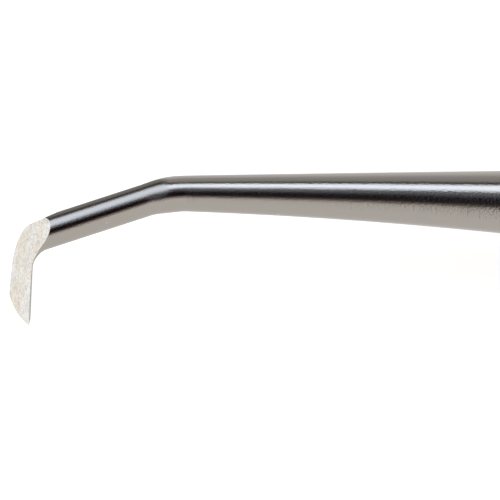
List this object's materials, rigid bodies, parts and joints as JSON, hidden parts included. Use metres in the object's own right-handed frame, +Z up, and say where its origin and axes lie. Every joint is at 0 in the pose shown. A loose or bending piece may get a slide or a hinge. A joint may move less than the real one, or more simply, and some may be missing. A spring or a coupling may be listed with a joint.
{
  "type": "double-ended scriber",
  "caption": "Machinist's scriber: a round handle of stacked sleeves with a bent, flat-ground hook tip at one end and a straight carbide point at the other, both screwed in.",
  "frame": {"origin": "on the tool's long axis, at the middle of the centre sleeve", "axes": "+X along the handle towards the straight point, the hook tip is at -X and reaches out towards -Y, +Z up away from the flat that the tool rests on"},
  "size_m": [0.1819, 0.015, 0.0092],
  "materials": {
    "polished_steel": "polished, hardened tool steel",
    "satin_steel": "satin, turned",
    "plain_steel": "as turned",
    "grip_steel": "knurled, satin nickel plated",
    "carbide": "ground tungsten carbide",
    "spacer_plastic": "black acetal",
    "seal_rubber": "black nitrile"
  },
  "bodies": {
    "handle": {"core_tube": "plain_steel", "centre_sleeve": "satin_steel", "hook_end_spacer": "spacer_plastic", "hook_end_grip": "grip_steel", "hook_end_socket": "satin_steel", "point_end_spacer": "spacer_plastic", "point_end_grip": "grip_steel", "point_end_socket": "satin_steel"},
    "hook_ring": {"hook_end_seal_ring": "seal_rubber"},
    "hook_tip": {"hook_tip": "polished_steel"},
    "point_ring": {"point_end_seal_ring": "seal_rubber"},
    "point_tip": {"point_tip": "polished_steel", "carbide_point": "carbide"}
  },
  "joints": [
    {"name": "hook_tip_travel", "type": "slide", "parent": "handle", "child": "hook_ring", "axis": [-1, 0, 0], "range_m": [0, 0.0063]},
    {"name": "hook_tip_unscrew", "type": "hinge", "parent": "hook_ring", "child": "hook_tip", "pos_m": [-0.046, 0, 0], "axis": [-1, 0, 0], "range_deg": [0, 3240]},
    {"name": "point_tip_travel", "type": "slide", "parent": "handle", "child": "point_ring", "axis": [1, 0, 0], "range_m": [0, 0.0063]},
    {"name": "point_tip_unscrew", "type": "hinge", "parent": "point_ring", "child": "point_tip", "pos_m": [0.046, 0, 0], "axis": [1, 0, 0], "range_deg": [0, 3240]}
  ],
  "couplings": [
    {"joint": "hook_tip_unscrew", "follows": "hook_tip_travel", "rad_per_m": 8975.9},
    {"joint": "point_tip_unscrew", "follows": "point_tip_travel", "rad_per_m": 8975.9}
  ]
}
